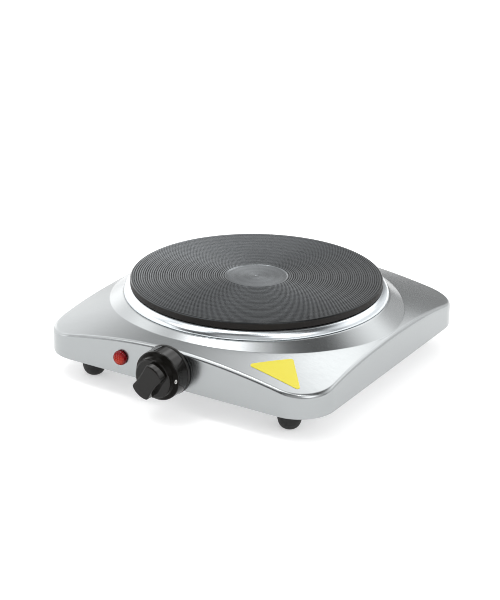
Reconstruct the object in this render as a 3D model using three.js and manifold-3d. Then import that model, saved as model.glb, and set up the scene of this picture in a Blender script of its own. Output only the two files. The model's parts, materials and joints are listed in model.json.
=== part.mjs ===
// Single hot plate burner: pressed stainless housing, cast iron plate with a
// polished overflow ring, one control knob with its bimetal thermostat, a pilot
// lamp and four rubber feet.
// Millimetres, +Z up, front of the appliance towards -Y. Inside this file the
// pieces are laid out around the plate's axis (X = Y = 0) with Z = 0 at the lower
// edge of the housing skirt; the exported group lifts them onto the feet.
import * as THREE from 'three';
import { mergeVertices } from 'three/addons/utils/BufferGeometryUtils.js';
import Module from 'manifold-3d';

const wasm = await Module();
wasm.setup();

// ------------------------------------------------------------------ dimensions
const HALF = 113.86;            // half width of the square housing skirt
const CORNER_R = 27.5;          // plan radius of the skirt's corners
const SHEET = 0.8;              // housing sheet
const EDGE_Z = 28.3;            // height of the top sheet's edge at EDGE_R
const EDGE_R = 112.9;
const EDGE_SLOPE = 0.307;       // fall of that edge per mm of radius
const SIDE_DROP = 3.6;          // how much lower the edge runs along the two sides
const COLLAR_R = 97.3;          // top of the collar round the plate
const COLLAR_Z = 35.3;
const COLLAR_SLOPE = 0.7;
const LEDGE_Z = 35.1;           // flat seat that carries the plate
const LEDGE_R = 88.0;           // opening in the seat
const LIP_FRONT = 2.5;          // edge radius along the front and the back
const LIP_SIDE = 4.2;           // edge radius along the two sides

const PLATE_R = 92.5;
const PLATE_TOP = 46.2;
const PLATE_EDGE_Z = 41.3;      // underside of the plate's overhanging edge

const FOOT_H = 18.1;            // floor to skirt edge
const FOOT_X = 82, FOOT_Y = 90;
const BASE_Z = 1.0, BASE_T = 0.8;
const STRAP_Z = 2.1, STRAP_T = 1.2, STRAP_W = 16;

const KNOB_X = -0.6, KNOB_Z = 13.3;   // knob axis
const KNOB_TURN = 56;           // grip bar angle, degrees from +X towards +Z
const BEZEL_R = 18.2, BEZEL_T = 2.5;
const KNOB_BACK_R = 17.9, KNOB_RIM_R = 17.6, KNOB_RIM_H = 14.3;
const KNOB_DISC_R = 14.2, KNOB_DISC_H = 19.6;
const GRIP_H = 26.3, GRIP_W = 15.4;
const SHAFT_R = 3.0, SHAFT_FIT = 0.35;

const LAMP_X = -40.6, LAMP_Z = 12.6, LENS_R = 5.3;
const GLAND_X = 50, GLAND_Z = 12, GLAND_BORE_R = 3.7, GLAND_OUT = 5.2;

const STACK = 30;               // knob axis to the rivet of the thermostat's spring stack
const LEAD_R = 1.1;

// ------------------------------------------------------------------ helpers
const RAD = Math.PI / 180;

function clean(geometry) {
  let g = geometry.index ? geometry : mergeVertices(geometry);
  g = g.clone();
  for (const name of Object.keys(g.attributes)) if (name !== 'position') g.deleteAttribute(name);
  g.groups = [];
  g = mergeVertices(g, 1e-4);
  const src = g.index.array, keep = [];
  for (let i = 0; i < src.length; i += 3) {
    const a = src[i], b = src[i + 1], c = src[i + 2];
    if (a !== b && b !== c && c !== a) keep.push(a, b, c);
  }
  const p = g.attributes.position;
  let volume = 0;
  const A = new THREE.Vector3(), B = new THREE.Vector3(), C = new THREE.Vector3();
  for (let i = 0; i < keep.length; i += 3) {
    A.fromBufferAttribute(p, keep[i]); B.fromBufferAttribute(p, keep[i + 1]); C.fromBufferAttribute(p, keep[i + 2]);
    volume += A.dot(B.cross(C));
  }
  if (volume < 0) for (let i = 0; i < keep.length; i += 3) [keep[i + 1], keep[i + 2]] = [keep[i + 2], keep[i + 1]];
  g.setIndex(keep);
  return g;
}

function toSolid(geometry) {
  const g = clean(geometry);
  return new wasm.Manifold(new wasm.Mesh({
    numProp: 3,
    vertProperties: new Float32Array(g.attributes.position.array),
    triVerts: new Uint32Array(g.index.array),
  }));
}

function toGeometry(solid) {
  const m = solid.getMesh();
  const g = new THREE.BufferGeometry();
  g.setAttribute('position', new THREE.BufferAttribute(new Float32Array(m.vertProperties), 3));
  g.setIndex(Array.from(m.triVerts));
  return g;
}

const cut = (body, ...tools) => toGeometry(tools.reduce((s, t) => s.subtract(toSolid(t)), toSolid(body)));
const join = (...parts) => toGeometry(parts.slice(1).reduce((s, t) => s.add(toSolid(t)), toSolid(parts[0])));

const v2 = (pairs) => pairs.map(([x, y]) => new THREE.Vector2(x, y));
const loop = (pairs) => v2([...pairs, pairs[0]]);

// turned about Z: pairs are (radius, height)
const turnedZ = (pairs, segments, closed = true) =>
  new THREE.LatheGeometry(closed ? loop(pairs) : v2(pairs), segments).rotateX(Math.PI / 2);
// turned about an axis along Y; heights count outwards from the front panel
const turnedFront = (pairs, segments, x, z, closed = true) =>
  new THREE.LatheGeometry(closed ? loop(pairs) : v2(pairs), segments).rotateX(Math.PI).translate(x, -HALF, z);
// the same, counting outwards from the rear panel
const turnedRear = (pairs, segments, x, z, closed = true) =>
  new THREE.LatheGeometry(closed ? loop(pairs) : v2(pairs), segments).translate(x, HALF, z);

const box = (x0, x1, y0, y1, z0, z1) =>
  new THREE.BoxGeometry(x1 - x0, y1 - y0, z1 - z0).translate((x0 + x1) / 2, (y0 + y1) / 2, (z0 + z1) / 2);
const rodY = (r, x, z, y0, y1, n = 16) =>
  new THREE.CylinderGeometry(r, r, y1 - y0, n).translate(x, (y0 + y1) / 2, z);
const rodZ = (r, x, y, z0, z1, n = 16) =>
  new THREE.CylinderGeometry(r, r, z1 - z0, n).rotateX(Math.PI / 2).translate(x, y, (z0 + z1) / 2);

function circlePath(r, n, x = 0, y = 0) {
  const pts = [];
  for (let i = 0; i < n; i++) pts.push(new THREE.Vector2(x + r * Math.cos(2 * Math.PI * i / n), y + r * Math.sin(2 * Math.PI * i / n)));
  return pts;
}
function roundedSquare(half, r, per) {
  const pts = [];
  const c = half - r;
  for (const [sx, sy, a0] of [[1, 1, 0], [-1, 1, 90], [-1, -1, 180], [1, -1, 270]])
    for (let i = 0; i <= per; i++) {
      const a = (a0 + 90 * i / per) * RAD;
      pts.push(new THREE.Vector2(sx * c + r * Math.cos(a), sy * c + r * Math.sin(a)));
    }
  return pts;
}
function slotPath(x, y, length, width) {
  const r = width / 2, c = length / 2 - r, pts = [];
  for (let i = 0; i <= 3; i++) pts.push(new THREE.Vector2(x + c + r * Math.cos((-90 + 60 * i) * RAD), y + r * Math.sin((-90 + 60 * i) * RAD)));
  for (let i = 0; i <= 3; i++) pts.push(new THREE.Vector2(x - c + r * Math.cos((90 + 60 * i) * RAD), y + r * Math.sin((90 + 60 * i) * RAD)));
  return pts;
}
function plate(outline, holes, z0, z1) {
  const s = new THREE.Shape(outline);
  for (const h of holes) s.holes.push(new THREE.Path(h));
  return new THREE.ExtrudeGeometry(s, { depth: z1 - z0, bevelEnabled: false, steps: 1 }).translate(0, 0, z0);
}
// a hexagon nut about Z
const nutZ = (af, bore, x, y, z0, z1) => {
  const s = new THREE.Shape(circlePath(af / Math.sqrt(3), 6));
  s.holes.push(new THREE.Path(circlePath(bore, 12)));
  return new THREE.ExtrudeGeometry(s, { depth: z1 - z0, bevelEnabled: false }).translate(x, y, z0);
};
function lead(points, steps) {
  const curve = new THREE.CatmullRomCurve3(points.map(([x, y, z]) => new THREE.Vector3(x, y, z)), false, 'centripetal');
  return new THREE.ExtrudeGeometry(new THREE.Shape(circlePath(LEAD_R, 6)), { steps, bevelEnabled: false, extrudePath: curve });
}

// ------------------------------------------------------------------ materials
const mat = (color, roughness, metalness, extra = {}) => new THREE.MeshStandardMaterial({ color, roughness, metalness, ...extra });
const M = {
  stainless: () => mat(0xc9ccce, 0.32, 1),
  polished: () => mat(0xe4e6e8, 0.08, 1),
  zinc: () => mat(0xb9bdc0, 0.45, 1),
  iron: () => mat(0x4a4c4e, 0.55, 0.9),
  blackGloss: () => mat(0x161615, 0.22, 0),
  blackMatte: () => mat(0x1a1a1a, 0.6, 0),
  rubber: () => mat(0x101010, 0.75, 0),
  redLens: () => mat(0xa81712, 0.12, 0),
  yellow: () => mat(0xf4df2e, 0.5, 0),
  ceramic: () => mat(0xe9e4d6, 0.6, 0),
  mineral: () => mat(0xcfc8b8, 0.95, 0),
  brass: () => mat(0xc9a44e, 0.3, 1),
  glass: () => mat(0xf2d9c8, 0.05, 0),
  coil: () => mat(0x8c8a86, 0.5, 1),
  leadBrown: () => mat(0x6b3a22, 0.6, 0),
  leadBlue: () => mat(0x2b55a8, 0.6, 0),
  leadGreen: () => mat(0x5f9a3a, 0.6, 0),
  leadWhite: () => mat(0xe6e3da, 0.7, 0),
};

const pieces = new THREE.Group();
function add(name, geometry, material) {
  const mesh = new THREE.Mesh(clean(geometry), material);
  mesh.name = name;
  pieces.add(mesh);
  return mesh;
}

// ------------------------------------------------------------------ housing
function squareRadius(half, r, angle) {
  const c = Math.abs(Math.cos(angle)), s = Math.abs(Math.sin(angle)), a = half - r;
  if (c > s && half * s / c <= a) return half / c;
  if (s >= c && half * c / s <= a) return half / s;
  const b = a * (c + s);
  return b + Math.sqrt(b * b - (2 * a * a - r * r));
}
function lipRadius(angle) {
  // the sides are rolled over softly, the front and back are folded crisp
  const folded = Math.atan2(Math.abs(Math.sin(angle)), Math.abs(Math.cos(angle))) / RAD;
  const t = Math.min(1, Math.max(0, (folded - 38) / 16));
  const w = t * t * (3 - 2 * t);
  return LIP_SIDE + (LIP_FRONT - LIP_SIDE) * w;
}
// one radial section: the collar's foot (crease) and the top sheet's edge
function topSheet(angle) {
  const f = Math.atan2(Math.abs(Math.sin(angle)), Math.abs(Math.cos(angle))) / RAD;
  const bump = (width) => (f < width ? 0.5 + 0.5 * Math.cos(Math.PI * f / width) : 0);
  const zc = 31.2 - 4.35 * Math.cos(f * RAD) ** 2 - 1.1 * bump(32);
  const rc = COLLAR_R + (COLLAR_Z - zc) / COLLAR_SLOPE;
  const re = squareRadius(HALF, CORNER_R, angle);
  const ze = EDGE_Z - EDGE_SLOPE * (re - EDGE_R) - SIDE_DROP * bump(46);
  const slope = (zc - ze) / (re - rc);
  return { rc, zc, re, ze, slope, at: (r) => zc - slope * (r - rc) };
}
function housingSection(angle) {
  const top = topSheet(angle), tilt = Math.atan(top.slope), half = Math.tan((90 * RAD - tilt) / 2);
  const ri = squareRadius(HALF - SHEET, CORNER_R - SHEET, angle), lip = lipRadius(angle);
  const to = lip * half, ti = (lip - SHEET) * half;
  const below = SHEET / Math.cos(tilt), steep = SHEET * Math.hypot(1, COLLAR_SLOPE);
  const arc = (r, z, t) => {
    const a = [r, z - t], b = [r - t * Math.cos(tilt), z + t * Math.sin(tilt)];
    const m = [0.25 * a[0] + 0.5 * r + 0.25 * b[0], 0.25 * a[1] + 0.5 * z + 0.25 * b[1]];
    return [a, m, b];
  };
  const outer = arc(top.re, top.ze, to), inner = arc(ri, top.at(ri) - below, ti);
  const rk = top.rc - (steep - below) / (COLLAR_SLOPE - top.slope);   // crease on the inner face
  return [
    [top.re, 0], ...outer,
    [top.rc, top.zc], [98.2, COLLAR_Z - COLLAR_SLOPE * (98.2 - COLLAR_R)], [97.3, 35.0], [96.3, LEDGE_Z], [LEDGE_R, LEDGE_Z],
    [LEDGE_R, LEDGE_Z - SHEET], [96.6, LEDGE_Z - SHEET], [97.6, COLLAR_Z - COLLAR_SLOPE * (97.6 - COLLAR_R) - steep],
    [rk, top.at(rk) - below], ...inner.reverse(), [ri, 0],
  ];
}
// sections strung round the plate's axis and closed into a ring
function strung(angles, section) {
  const rows = angles.map((a) => section(a * RAD).map(([r, z]) => [r * Math.cos(a * RAD), r * Math.sin(a * RAD), z]));
  const n = rows.length, k = rows[0].length, pos = [], idx = [];
  for (const row of rows) for (const p of row) pos.push(...p);
  for (let i = 0; i < n; i++) for (let j = 0; j < k; j++) {
    const a = i * k + j, b = ((i + 1) % n) * k + j, c = ((i + 1) % n) * k + (j + 1) % k, d = i * k + (j + 1) % k;
    idx.push(a, b, c, a, c, d);
  }
  const g = new THREE.BufferGeometry();
  g.setAttribute('position', new THREE.BufferAttribute(new Float32Array(pos), 3));
  g.setIndex(idx);
  return g;
}
function housingShell() {
  const edge = Math.atan((HALF - CORNER_R) / HALF) / RAD;   // where a straight side meets its corner
  const angles = [];
  for (let q = 0; q < 4; q++) {
    for (let i = 0; i < 10; i++) angles.push(q * 90 - edge + (2 * edge) * i / 10);
    for (let i = 0; i < 6; i++) angles.push(q * 90 + edge + (90 - 2 * edge) * i / 6);
  }
  return strung(angles, housingSection);
}
const FRONT_IN = -(HALF - SHEET);     // inner face of the front panel
add('top_housing', cut(housingShell(),
  rodY(5.15, KNOB_X, KNOB_Z, -HALF - 3, -HALF + 6, 20),
  rodY(2.0, KNOB_X - 12, KNOB_Z, -HALF - 3, -HALF + 6, 12),
  rodY(2.0, KNOB_X + 12, KNOB_Z, -HALF - 3, -HALF + 6, 12),
  rodY(4.75, LAMP_X, LAMP_Z, -HALF - 3, -HALF + 6, 20),
  rodY(6.0, GLAND_X, GLAND_Z, HALF - 6, HALF + 3, 20),
), M.stainless());

// ------------------------------------------------------------------ base plate, straps, feet
const feet = [['front_left', -1, -1], ['front_right', 1, -1], ['rear_left', -1, 1], ['rear_right', 1, 1]];
const EARTH_X = 47, EARTH_Y = 62;
{
  const holes = feet.map(([, sx, sy]) => circlePath(2.3, 12, sx * FOOT_X, sy * FOOT_Y));
  for (const y of [-62, -54, -46, 46, 54, 62]) for (const x of [-26, 12]) holes.push(slotPath(x, y, 24, 3.2));
  holes.push(circlePath(2.2, 12, EARTH_X, EARTH_Y), circlePath(2.2, 12, 18, 94.5));
  add('base_plate', plate(roundedSquare(HALF - SHEET - 0.6, CORNER_R - SHEET - 0.6, 5), holes, BASE_Z, BASE_Z + BASE_T), M.zinc());
}
for (const [name, sx] of [['bottom_strap_left', -1], ['bottom_strap_right', 1]]) {
  const y = 112.0, t = STRAP_T, z = STRAP_Z, up = 13;
  const u = new THREE.Shape(v2([[-y, z], [y, z], [y, up], [y - t, up], [y - t, z + t], [-y + t, z + t], [-y + t, up], [-y, up]]));
  const g = new THREE.ExtrudeGeometry(u, { depth: STRAP_W, bevelEnabled: false });
  // shape plane (y, z) extruded along X
  g.applyMatrix4(new THREE.Matrix4().makeBasis(new THREE.Vector3(0, 1, 0), new THREE.Vector3(0, 0, 1), new THREE.Vector3(1, 0, 0)));
  g.translate(sx * FOOT_X - STRAP_W / 2, 0, 0);
  add(name, cut(g, rodZ(2.2, sx * FOOT_X, -FOOT_Y, 0, 6, 12), rodZ(2.2, sx * FOOT_X, FOOT_Y, 0, 6, 12)), M.zinc());
}
const FLOOR = -FOOT_H;
for (const [where, sx, sy] of feet) {
  const at = (g) => g.translate(sx * FOOT_X, sy * FOOT_Y, FLOOR);
  const top = FOOT_H + BASE_Z - 0.3;
  add('foot_' + where, at(turnedZ([[3.5, 0.2], [3.8, 0], [4.4, 0], [5.7, 0.9], [6.9, 2.3], [7.8, 4.2], [8.4, 6.6], [8.65, 9.4], [8.7, top], [2.2, top], [2.2, 8.0], [3.5, 8.0]], 16)), M.rubber());
  add('foot_screw_' + where, at(turnedZ([[0, 5.3], [2.3, 5.3], [3.2, 6.1], [3.2, 7.6], [1.7, 7.6], [1.7, 25.7], [0, 25.7]], 12, false)), M.zinc());
  add('foot_nut_' + where, nutZ(6.6, 2.1, sx * FOOT_X, sy * FOOT_Y, STRAP_Z + STRAP_T + 0.3, STRAP_Z + STRAP_T + 3.1), M.zinc());
}

// ------------------------------------------------------------------ hot plate and overflow ring
add('hot_plate', turnedZ([
  [0, PLATE_TOP - 0.45], [21.6, PLATE_TOP - 0.45], [22.5, PLATE_TOP], [90.9, PLATE_TOP], [91.9, PLATE_TOP - 0.4], [PLATE_R, PLATE_TOP - 1.3],
  [PLATE_R, PLATE_EDGE_Z], [91.3, PLATE_EDGE_Z], [91.3, 35.5], [87.3, 35.5], [86.9, 31.0], [83.8, 31.0], [83.3, 37.0],
  [8.3, 37.0], [8.3, 32.2], [3.4, 32.2], [3.4, 41.0], [0, 41.0],
], 52, false), M.iron());
add('trim_ring', turnedZ([
  [91.7, 40.2], [93.1, 39.7], [94.7, 38.3], [96.2, 35.45],
  [97.1, 35.45], [96.6, 37.4], [95.6, 38.95], [94.0, 40.3], [92.7, 40.85], [91.7, 41.0],
], 52), M.polished());

// ------------------------------------------------------------------ element under the plate
add('heating_coil_outer', new THREE.TorusGeometry(66, 1.6, 6, 32).translate(0, 0, 34.9), M.coil());
add('heating_coil_inner', new THREE.TorusGeometry(44, 1.6, 6, 24).translate(0, 0, 34.9), M.coil());
const PINS = [['element_pin_line', -8], ['element_pin_neutral', 8]];
const PIN_Y = 44;
add('insulation_pad', plate(circlePath(82.4, 32), [circlePath(9.2, 12), ...PINS.map(([, x]) => circlePath(1.5, 8, x, PIN_Y))], 31.4, 32.9), M.mineral());
add('element_cover', cut(turnedZ([[3.5, 29.8], [84.6, 29.8], [84.6, 30.6], [3.5, 30.6]], 32),
  ...PINS.map(([, x]) => rodZ(1.5, x, PIN_Y, 28, 33, 8))), M.zinc());
add('center_stud', rodZ(2.9, 0, 0, 17.0, 40.6, 16), M.zinc());
{
  const t = 1.2, z = 26.0;
  const s = new THREE.Shape(v2([[-88, z], [88, z], [93.2, 32.7], [95, 32.7], [95, 33.9], [92.6, 33.9], [87.4, z + t], [-87.4, z + t], [-92.6, 33.9], [-95, 33.9], [-95, 32.7], [-93.2, 32.7]]));
  const g = new THREE.ExtrudeGeometry(s, { depth: 24, bevelEnabled: false }).rotateX(Math.PI / 2).translate(0, 12, 0);
  add('mounting_bracket', cut(g, rodZ(3.3, 0, 0, 24, 30, 16)), M.zinc());
}
add('stud_washer', turnedZ([[3.3, 24.7], [8.5, 24.7], [8.5, 25.7], [3.3, 25.7]], 20), M.zinc());
add('stud_nut', nutZ(10, 3.25, 0, 0, 19.6, 24.4), M.zinc());
add('element_terminal_block', cut(box(-13, 13, 38, 50, 21.5, 29.4), ...PINS.map(([, x]) => rodZ(1.4, x, PIN_Y, 20, 31, 8))), M.ceramic());
for (const [name, x] of PINS) add(name, rodZ(1.0, x, PIN_Y, 16.0, 32.8, 8), M.zinc());

// ------------------------------------------------------------------ thermostat behind the front panel
const BR0 = FRONT_IN + 0.35, BR1 = BR0 + 1.2;
{
  const s = new THREE.Shape(v2([[BR0, 3.2], [BR1, 3.2], [BR1, 19.8], [-97, 19.8], [-97, 21.0], [BR0, 21.0]]));
  const g = new THREE.ExtrudeGeometry(s, { depth: 55, bevelEnabled: false });
  g.applyMatrix4(new THREE.Matrix4().makeBasis(new THREE.Vector3(0, 1, 0), new THREE.Vector3(0, 0, 1), new THREE.Vector3(1, 0, 0)));
  g.translate(KNOB_X - 17, 0, KNOB_Z - 12);
  add('thermostat_bracket', cut(g,
    rodY(5.15, KNOB_X, KNOB_Z, BR0 - 2, BR1 + 2, 16), rodY(2.0, KNOB_X - 12, KNOB_Z, BR0 - 2, BR1 + 2, 12), rodY(2.0, KNOB_X + 12, KNOB_Z, BR0 - 2, BR1 + 2, 12),
    rodY(1.9, KNOB_X + STACK, KNOB_Z, BR0 - 2, BR1 + 2, 12)), M.zinc());
}
// countersunk screws through bezel, panel and bracket
for (const [name, x] of [['thermostat_screw_left', -12], ['thermostat_screw_right', 12]])
  add(name, turnedFront([[0, -7.0], [1.6, -7.0], [1.6, 0.75], [3.1, 2.2], [0, 2.2]], 12, KNOB_X + x, KNOB_Z, false), M.zinc());
add('shaft_bushing', turnedFront([[SHAFT_R + SHAFT_FIT, -5.6], [6.4, -5.6], [6.4, -2.8], [4.8, -2.8], [4.8, 2.2], [SHAFT_R + SHAFT_FIT, 2.2]], 20, KNOB_X, KNOB_Z), M.brass());
add('thermostat_shaft', cut(
  turnedFront([[0, 16.0], [2.6, 16.0], [SHAFT_R, 15.6], [SHAFT_R, -6.0], [4.2, -6.0], [4.2, -7.1], [SHAFT_R, -7.1], [SHAFT_R, -7.4], [2.0, -7.4], [2.0, 0.4], [0, 0.4]], 20, KNOB_X, KNOB_Z, false),
  box(KNOB_X - 6, KNOB_X + 6, -HALF - 18, -HALF - 5, KNOB_Z + 2.0, KNOB_Z + 6)), M.brass());
add('adjusting_plunger', rodY(1.5, KNOB_X, KNOB_Z, -112.4, -103.9, 12), M.ceramic());
const spacer = (y0, y1) => {
  const s = new THREE.Shape(circlePath(5.0, 16)); s.holes.push(new THREE.Path(circlePath(1.9, 12)));
  return new THREE.ExtrudeGeometry(s, { depth: y1 - y0, bevelEnabled: false }).rotateX(Math.PI / 2).translate(KNOB_X + STACK, y1, KNOB_Z);
};
add('ceramic_spacer_front', spacer(-111.0, -105.55), M.ceramic());
add('ceramic_spacer_middle', spacer(-102.3, -98.85), M.ceramic());
add('ceramic_spacer_rear', spacer(-97.45, -93.5), M.ceramic());
add('stack_rivet', new THREE.LatheGeometry(v2([[0, -112.4], [1.5, -112.4], [1.5, -91.8], [3.2, -91.8], [2.6, -90.4], [0, -90.4]]), 12).translate(KNOB_X + STACK, 0, KNOB_Z), M.zinc());
const blade = (x0, x1, w, y0, y1, tab) => {
  // a strip seen from the front: wide round the rivet, narrower arm, optional tab
  const pts = tab
    ? [[x0, -w], [24, -w], [26, -4.5], [35.5, -4.5], [37, -3.1], [x1, -3.1], [x1, 3.1], [37, 3.1], [35.5, 4.5], [26, 4.5], [24, w], [x0, w]]
    : [[x0, -w], [24, -w], [26, -4.5], [x1, -4.5], [x1, 4.5], [26, 4.5], [24, w], [x0, w]];
  const s = new THREE.Shape(v2(pts));
  s.holes.push(new THREE.Path(circlePath(2.0, 12, STACK, 0)));
  return new THREE.ExtrudeGeometry(s, { depth: y1 - y0, bevelEnabled: false }).rotateX(Math.PI / 2).translate(KNOB_X, y1, KNOB_Z);
};
{
  const s = new THREE.Shape(v2([[25, -4.5], [35.5, -4.5], [37, -3.1], [47, -3.1], [47, 3.1], [37, 3.1], [35.5, 4.5], [25, 4.5]]));
  s.holes.push(new THREE.Path(circlePath(2.0, 12, STACK, 0)));
  add('line_terminal', new THREE.ExtrudeGeometry(s, { depth: 0.7, bevelEnabled: false }).rotateX(Math.PI / 2).translate(KNOB_X, -104.55, KNOB_Z), M.brass());
}
add('contact_arm', join(blade(-12, 35.5, 2.6, -103.6, -102.9, false), rodY(1.7, KNOB_X - 8, KNOB_Z, -103.2, -101.1, 12)), M.brass());
add('fixed_contact_blade', join(blade(-12, 46.5, 2.6, -98.5, -97.8, true), rodY(1.7, KNOB_X - 8, KNOB_Z, -99.9, -98.2, 12)), M.brass());
add('bimetal_blade', blade(-4, 35.5, 3.4, -93.2, -92.2, false), M.zinc());

// ------------------------------------------------------------------ bezel and knob
{
  const ring = turnedFront([[5.15, 0.35], [BEZEL_R - 0.5, 0.35], [BEZEL_R, 0.8], [BEZEL_R, 1.9], [BEZEL_R - 0.6, BEZEL_T], [5.15, BEZEL_T]], 36, KNOB_X, KNOB_Z);
  const sink = (x) => turnedFront([[0, -0.5], [2.0, -0.5], [2.0, 0.7], [3.9, 2.6], [0, 2.6]], 12, KNOB_X + x, KNOB_Z, false);
  add('knob_bezel', cut(ring, sink(-12), sink(12)), M.blackMatte());
}
{
  const body = turnedFront([
    [0, 16.5], [3.4, 16.5], [3.4, 3.6], [5.8, 3.6], [5.8, 16.4], [12.2, 16.6], [14.9, 12.9], [16.4, 2.9],
    [KNOB_BACK_R, 2.9], [KNOB_RIM_R, KNOB_RIM_H - 0.5], [KNOB_RIM_R - 0.5, KNOB_RIM_H], [KNOB_DISC_R + 0.7, KNOB_RIM_H + 1.5],
    [KNOB_DISC_R, KNOB_DISC_H - 0.9], [KNOB_DISC_R - 0.9, KNOB_DISC_H], [0, KNOB_DISC_H]], 36, KNOB_X, KNOB_Z, false);
  const w = GRIP_W / 2, r = KNOB_DISC_R - 0.4, a = Math.asin(w / r), pts = [];
  for (let i = 0; i <= 6; i++) { const t = -a + 2 * a * i / 6; pts.push([r * Math.cos(t) - 1.6, r * Math.sin(t)]); }
  for (let i = 1; i < 6; i++) { const t = i / 6; pts.push([r * Math.cos(a) * (1 - 2 * t) - 1.6 * (1 - t), w - 0.9 * Math.sin(Math.PI * t)]); }
  for (let i = 0; i <= 6; i++) { const t = Math.PI - a + 2 * a * i / 6; pts.push([r * Math.cos(t), r * Math.sin(t)]); }
  for (let i = 1; i < 6; i++) { const t = i / 6; pts.push([-r * Math.cos(a) * (1 - 2 * t) - 1.6 * t, -w + 0.9 * Math.sin(Math.PI * t)]); }
  const bevel = 0.9;
  const grip = new THREE.ExtrudeGeometry(new THREE.Shape(v2(pts)), { depth: GRIP_H - (KNOB_DISC_H - 1.2) - bevel, bevelEnabled: true, bevelThickness: bevel, bevelSize: bevel, bevelOffset: -bevel, bevelSegments: 2 });
  grip.rotateZ(KNOB_TURN * RAD).rotateX(Math.PI / 2).translate(KNOB_X, -HALF - (KNOB_DISC_H - 1.2), KNOB_Z);
  const flat = box(KNOB_X - 4, KNOB_X + 4, -HALF - 16.45, -HALF - 6.5, KNOB_Z + 2.4, KNOB_Z + 4.4);   // D-shaped socket
  add('knob', join(body, grip, flat), M.blackGloss());
}

// ------------------------------------------------------------------ pilot lamp
add('pilot_lens', turnedFront([[0, 1.2], [3.1, 0.9], [3.1, -6.5], [4.35, -6.5], [4.35, 0.35], [LENS_R, 0.35], [LENS_R, 1.3], [4.7, 2.4], [3.3, 3.3], [1.7, 3.8], [0, 3.95]], 18, LAMP_X, LAMP_Z, false), M.redLens());
add('neon_bulb', turnedFront([[0, -12.5], [1.8, -12.5], [2.5, -11.2], [2.5, -1.2], [1.6, 0.2], [0, 0.6]], 14, LAMP_X, LAMP_Z, false), M.glass());
add('lamp_clip', turnedFront([[4.75, -2.2], [7.6, -2.2], [7.6, -1.2], [4.75, -1.2]], 20, LAMP_X, LAMP_Z), M.zinc());

// ------------------------------------------------------------------ mains entry
add('cable_gland', turnedRear([[GLAND_BORE_R, -4.2], [7.4, -4.2], [7.4, -1.2], [5.6, -1.2], [5.6, 0.35], [8.2, 0.35], [8.2, 2.4], [6.4, GLAND_OUT], [GLAND_BORE_R, GLAND_OUT]], 18, GLAND_X, GLAND_Z), M.blackMatte());
add('mains_terminal_block', cut(box(10, 34, 86, 98, 3.2, 14.4), ...[14, 22, 30].map((x) => rodY(1.6, x, 9, 84, 91, 10)), rodZ(2.0, 18, 94.5, 2, 16, 12)), M.ceramic());
add('mains_block_screw', turnedZ([[0, -1.6], [1.6, -1.6], [1.6, 14.8], [3.1, 14.8], [2.7, 16.6], [0, 16.6]], 12, false).translate(18, 94.5, 0), M.zinc());
add('earth_screw', turnedZ([[0, -1.6], [1.7, -1.6], [1.7, 2.1], [3.2, 2.1], [2.8, 4.1], [0, 4.1]], 12, false).translate(EARTH_X, EARTH_Y, 0), M.zinc());

// ------------------------------------------------------------------ leads
const TZ = KNOB_Z;
add('lead_live', lead([[14, 89.8, 9], [14, 82, 8.6], [15, 62, 4.8], [18, 0, 4.6], [20, -56, 4.6], [36, -76, 4.8], [50, -86, 5.8], [KNOB_X + 55, -96.5, 9.6], [KNOB_X + 52.5, -103.9, 12.8], [KNOB_X + 47.5, -104.9, TZ]], 26), M.leadBrown());
add('lead_load', lead([[KNOB_X + 47, -98.15, TZ], [KNOB_X + 50.2, -97.3, 14.1], [KNOB_X + 50.2, -90, 15.7], [34, -75, 12], [8, -40, 9], [-3, 10, 8.2], [-8, 35, 8.6], [-8.2, 42.6, 11], [-8, 44, 15.6]], 24), M.leadWhite());
add('lead_neutral', lead([[22, 89.8, 9], [22, 82, 8.6], [19.5, 64, 7.2], [12, 50, 7.6], [8.2, 44.8, 11], [8, 44, 15.6]], 14), M.leadBlue());
add('lead_earth', lead([[30, 89.8, 9], [30.5, 82, 8.4], [37, 72, 5], [42.8, 65.2, 3.5]], 8), M.leadGreen());
add('lead_lamp_a', lead([[LAMP_X - 1.7, -100.9, LAMP_Z], [LAMP_X - 1.5, -96.5, 11.5], [-36, -88.5, 6], [-10, -86, 4.8], [12, -86, 5.2], [30, -84.5, 9], [KNOB_X + 39.5, -87, 12.6], [KNOB_X + 41, -92, TZ], [KNOB_X + 41, -97.4, TZ]], 22), M.leadWhite());
add('lead_lamp_b', lead([[LAMP_X + 1.7, -100.9, LAMP_Z], [LAMP_X + 2.8, -95, 11.3], [-26, -80, 6], [-13, -55, 4.8], [-9, 0, 4.8], [-6, 30, 4.8], [2.4, 44.8, 8], [4.9, 44.8, 12], [4.9, 44.6, 17.8]], 24), M.leadBlue());

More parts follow.
